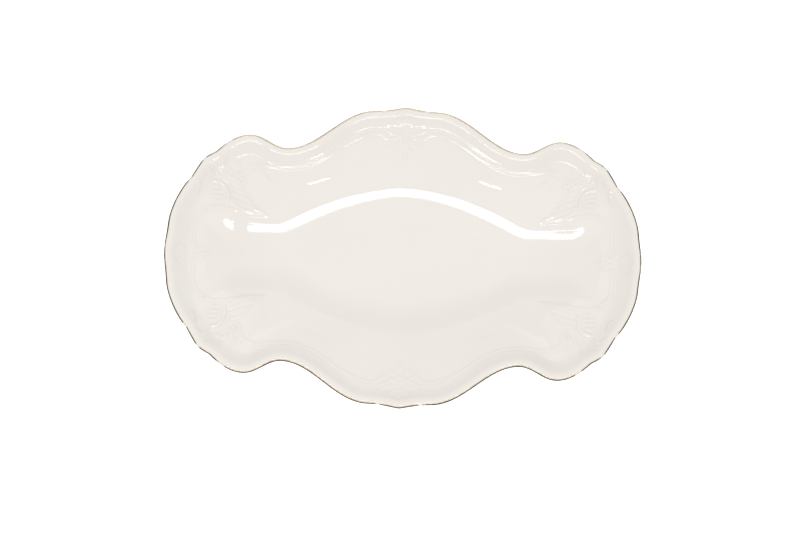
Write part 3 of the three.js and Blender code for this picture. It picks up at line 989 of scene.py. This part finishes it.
class PLATTER_OT_china_body(bpy.types.Operator):
    """Lay the china body just inside the glaze, with its bare standing ring"""
    bl_idname = "platter.china_body"
    bl_label = "China body"

    def execute(self, context):
        settings = context.scene.platter_section
        dish = Dish(settings, 0.34)
        upper, _ = upper_rings(dish, relief=False)
        upper = upper[::3]
        under = under_rings(dish, 9)
        inset = 0.6
        foot_inset = 0.25
        ring_inset = 0.15
        upper[..., 2] -= inset
        under[..., 2] += inset
        width = settings.foot_width / MM
        stop = settings.glaze_stop / MM
        for rings in (upper[:3], under[:3]):
            rings[..., :2] += dish.inward * inset * 1.5
        under[-3:, :, :2] += foot_inset * dish.inward
        round_off = 0.7
        above_stop = stop + 1.2
        outer = width - ring_inset
        foot = [(outer, above_stop), (outer, round_off)]
        foot += [(outer - round_off * (1 - math.cos(turn)), round_off * (1 - math.sin(turn)))
                 for turn in np.radians((30, 60, 90))]
        foot += [(ring_inset + round_off * (1 - math.cos(turn)), round_off * (1 - math.sin(turn)))
                 for turn in np.radians((90, 60, 30, 0))]
        behind_base_glaze = 0.5
        foot += [(ring_inset, above_stop), (ring_inset, BASE_HIGH.z / MM + behind_base_glaze)]
        tail = np.array([level_ring(foot_outline(dish, outset), level) for outset, level in foot])
        piece, _, _ = laid_grid("china_body", np.concatenate([upper[::-1], under, tail]))
        mirrored_whole(piece)
        finished(piece)
        handed_over(piece, bare_china(context.scene.platter_foot), "bare_porcelain", "porcelain_body")
        return {"FINISHED"}


class PLATTER_OT_base_glaze(bpy.types.Operator):
    """Lay the glaze over the base inside the standing ring"""
    bl_idname = "platter.base_glaze"
    bl_label = "Base glaze"

    def execute(self, context):
        settings = context.scene.platter_section
        dish = Dish(settings, 0.5)
        stop = settings.glaze_stop / MM
        coat = 0.25
        under = BASE_HIGH.z / MM - coat
        fillet = 1.2
        hidden = 0.9
        wall = -0.12
        rings = [(hidden, under + hidden), (hidden, stop), (0.0, stop), (wall, stop + 0.15),
                 (wall, under - fillet)]
        rings += [(wall - fillet * (1 - math.cos(turn)), under - fillet * (1 - math.sin(turn)))
                  for turn in np.radians((25, 50, 75, 90))]
        innermost = -24.0
        rings += [(-6.0, under), (-14.0, under), (innermost, under)]
        rings = [level_ring(foot_outline(dish, outset), level) for outset, level in rings]
        middle = foot_outline(dish, innermost) * (1, 0)
        rings.append(level_ring(middle, under))
        pool_and_shade = np.zeros((len(rings), len(dish.run)))
        # The fillet where the base meets the standing ring is darkened: glaze pooling and painted shade
        # in that inner corner.
        pool_and_shade[4:8] = 0.5
        piece, _, _ = laid_grid("base_glaze_well", np.array(rings), {"pool_and_shade": pool_and_shade})
        mirrored_whole(piece)
        finished(piece)
        handed_over(piece, glazed_china("glazed_base", context.scene.platter_glaze, 1.2),
                    "clear_glaze", "base_glaze")
        return {"FINISHED"}


class PLATTER_OT_gold_line(bpy.types.Operator):
    """Brush the gold line over the edge of the lip"""
    bl_idname = "platter.gold_line"
    bl_label = "Gold line"

    def execute(self, context):
        gold = context.scene.platter_gold
        dish = Dish(context.scene.platter_section)
        wander = (np.sin(dish.reach * 0.21) + 0.6 * np.sin(dish.reach * 0.57 + 1.0)
                  + 0.4 * np.sin(dish.reach * 1.33 + 2.0)) / 2
        inner = gold.width / MM + gold.waver / MM * wander
        shares = np.linspace(0, 1, 8)
        depth = np.array([inner * (1 - math.cos(share * math.pi / 2)) for share in shares])
        rings = with_level(dish.plan(depth), dish.level(depth))
        turned_under = 0.3
        lower = rings[:1].copy()
        lower[..., 2] -= turned_under
        rings = np.concatenate([rings[::-1], lower])
        # Rubbed patches of the gold line, which also stand for painted glints.
        worn_and_glinting = worn_places(dish, rings.shape[0])
        piece, _, _ = laid_grid("gilt_line_brushed", rings, {"worn_and_glinting": worn_and_glinting})
        mirrored_whole(piece)
        bpy.ops.object.mode_set(mode="EDIT")
        bpy.ops.mesh.select_all(action="SELECT")
        bpy.ops.mesh.remove_doubles(threshold=WELD)
        bpy.ops.mesh.normals_make_consistent(inside=False)
        bpy.ops.object.mode_set(mode="OBJECT")
        apply_modifier(piece, "SOLIDIFY", thickness=2 * gold.thickness, offset=0.0)
        finished(piece)
        handed_over(piece, bright_gold(gold), "bright_gold", "gilt_line")
        return {"FINISHED"}


def worn_places(dish, rows):
    """Wear of the gold, and painted glints in the same pale patches: most at the corners' lobes, less at
    the ends and beside the sides' tips.
    """
    worn_and_glinting = np.zeros(len(dish.run))
    for (x, y), spread, amount in (((126, 79.5), 5, 1.0), ((143.5, 67.5), 3, 1.0),
                                   ((153.5, 53), 3.5, 1.0), ((169, 5), 6, 0.45),
                                   ((15, 105.6), 4, 0.85)):
        away = np.linalg.norm(dish.edge - np.array([x, y]), axis=1)
        worn_and_glinting = np.maximum(worn_and_glinting, amount * np.exp(-(away / spread) ** 2))
    return np.repeat(worn_and_glinting[None, :], rows, 0)


class PLATTER_OT_stage(bpy.types.Operator):
    """Set the pale floor, the soft lights and the camera"""
    bl_idname = "platter.stage"
    bl_label = "Stage"

    def execute(self, context):
        stage = context.scene.platter_stage
        deselect_all()
        bpy.ops.mesh.primitive_plane_add(size=8.0, location=(0, 0, 0))
        floor = context.active_object
        floor.name = "studio_floor"
        floor.data.materials.append(floor_paint(stage))
        # The glaze mirrors the tent's dark horizon in place of the floor.
        floor.visible_glossy = False
        world_light(context.scene)
        rim_centre = Vector((0, 0, GLAZE_HIGH.z))
        add_softbox("strip_light", stage, rim_centre - Vector((stage.key_shift, 0, 0)))
        add_camera(context.scene, stage, rim_centre)
        context.scene.view_settings.view_transform = "Standard"
        return {"FINISHED"}


def floor_paint(stage):
    """Matt white paint with a faint roller texture."""
    material, tree, shader, place = new_material("studio_floor", Roughness=0.9)
    shader.inputs["Specular IOR Level"].default_value = 0.1
    shader.inputs["Emission Color"].default_value = (1, 1, 1, 1)
    shader.inputs["Emission Strength"].default_value = 0.42
    tone = mapped(tree, noise(tree, place, 3.0), 0.3, 0.7, 0.0, 1.0)
    roller_shade = 0.985
    darker = [value * roller_shade for value in stage.floor_colour]
    tree.links.new(mixed_colour(tree, tone, stage.floor_colour, darker), shader.inputs["Base Color"])
    return material


def world_light(scene):
    """A bright tent overhead that darkens towards the horizon, and a pale backdrop.

    The tent lights the dish and shows in its glaze. The backdrop is what the camera sees."""
    world = bpy.data.worlds.new("studio_tent")
    scene.world = world
    world.use_nodes = True
    tree = world.node_tree
    tree.nodes.clear()
    place = tree.nodes.new("ShaderNodeTexCoord").outputs["Generated"]
    axes = tree.nodes.new("ShaderNodeSeparateXYZ")
    tree.links.new(place, axes.inputs[0])
    lean_to_the_front = -0.05
    nearer = math_node(tree, "MULTIPLY", axes.outputs["Y"], lean_to_the_front)
    leaning = math_node(tree, "ADD", axes.outputs["Z"], nearer)
    overhead = mapped(tree, leaning, -0.04, 0.36, 0.0, 1.0)
    behind = mapped(tree, axes.outputs["Y"], 0.70, 0.92, 0.0, 1.0)
    tone = math_node(tree, "MAXIMUM", overhead, behind)
    tent = tree.nodes.new("ShaderNodeBackground")
    dark, bright = 0.04, 1.20
    tree.links.new(mapped(tree, tone, 0.0, 1.0, dark, bright), tent.inputs["Strength"])
    backdrop = tree.nodes.new("ShaderNodeBackground")
    backdrop.inputs["Strength"].default_value = 1.0
    rays = tree.nodes.new("ShaderNodeLightPath")
    chosen = tree.nodes.new("ShaderNodeMixShader")
    tree.links.new(rays.outputs["Is Camera Ray"], chosen.inputs["Fac"])
    tree.links.new(tent.outputs[0], chosen.inputs[1])
    tree.links.new(backdrop.outputs[0], chosen.inputs[2])
    out = tree.nodes.new("ShaderNodeOutputWorld")
    tree.links.new(chosen.outputs[0], out.inputs["Surface"])


def away_from_dish(azimuth, elevation):
    """The direction from the dish out to something that faces it; azimuth 0 is the front."""
    return Vector((math.sin(azimuth) * math.cos(elevation),
                   -math.cos(azimuth) * math.cos(elevation), math.sin(elevation)))


def add_softbox(name, stage, target):
    """A long softbox over the front of the dish, turned to face it."""
    back = away_from_dish(0.0, stage.key_elevation)
    bpy.ops.object.light_add(type="AREA", location=target + back * stage.key_distance)
    lamp = bpy.context.active_object
    lamp.name = name
    lamp.data.name = name
    lamp.rotation_euler = (-back).to_track_quat("-Z", "Y").to_euler()
    lamp.data.shape = "RECTANGLE"
    lamp.data.size = stage.key_length
    lamp.data.size_y = stage.key_width
    lamp.data.energy = stage.key_strength


def add_camera(scene, stage, rim_centre):
    """Looks down steeply from the front, a little to the right, through a long lens."""
    back = away_from_dish(stage.azimuth, stage.elevation)
    turn = (-back).to_track_quat("-Z", "Y")
    right = turn @ Vector((1, 0, 0))
    up = turn @ Vector((0, 1, 0))
    aim = rim_centre - right * stage.aim_right - up * stage.aim_up
    bpy.ops.object.camera_add(location=aim + back * stage.distance, rotation=turn.to_euler())
    camera = bpy.context.active_object
    camera.name = "camera"
    camera.data.lens = stage.lens
    camera.data.sensor_width = 36.0
    camera.data.clip_end = 50.0
    scene.camera = camera


# ---------------------------------------------------------------- panel and running

class PLATTER_PT_panel(bpy.types.Panel):
    """Lists the platter's pieces and their settings"""
    bl_label = "China platter"
    bl_idname = "PLATTER_PT_panel"
    bl_space_type = "VIEW_3D"
    bl_region_type = "UI"
    bl_category = "Platter"

    def draw(self, context):
        for operator in OPERATORS:
            self.layout.operator(operator.bl_idname)
        for key in SETTINGS:
            box = self.layout.box()
            group = getattr(context.scene, key)
            for name in group.bl_rna.properties.keys():
                if name not in ("rna_type", "name"):
                    box.prop(group, name)


SETTINGS = {
    "platter_section": PlatterSection,
    "platter_glaze": PlatterGlaze,
    "platter_foot": PlatterFoot,
    "platter_gold": PlatterGold,
    "platter_stage": PlatterStage,
}
OPERATORS = (
    PLATTER_OT_glazed_dish,
    PLATTER_OT_china_body,
    PLATTER_OT_base_glaze,
    PLATTER_OT_gold_line,
    PLATTER_OT_stage,
)


def register():
    for kind in (*SETTINGS.values(), *OPERATORS, PLATTER_PT_panel):
        bpy.utils.register_class(kind)
    for key, kind in SETTINGS.items():
        setattr(bpy.types.Scene, key, PointerProperty(type=kind))


def unregister():
    for key in SETTINGS:
        delattr(bpy.types.Scene, key)
    for kind in reversed((*SETTINGS.values(), *OPERATORS, PLATTER_PT_panel)):
        bpy.utils.unregister_class(kind)


def main():
    register()
    bpy.ops.platter.glazed_dish()
    bpy.ops.platter.china_body()
    bpy.ops.platter.base_glaze()
    bpy.ops.platter.gold_line()
    bpy.ops.platter.stage()


if __name__ == "__main__":
    main()
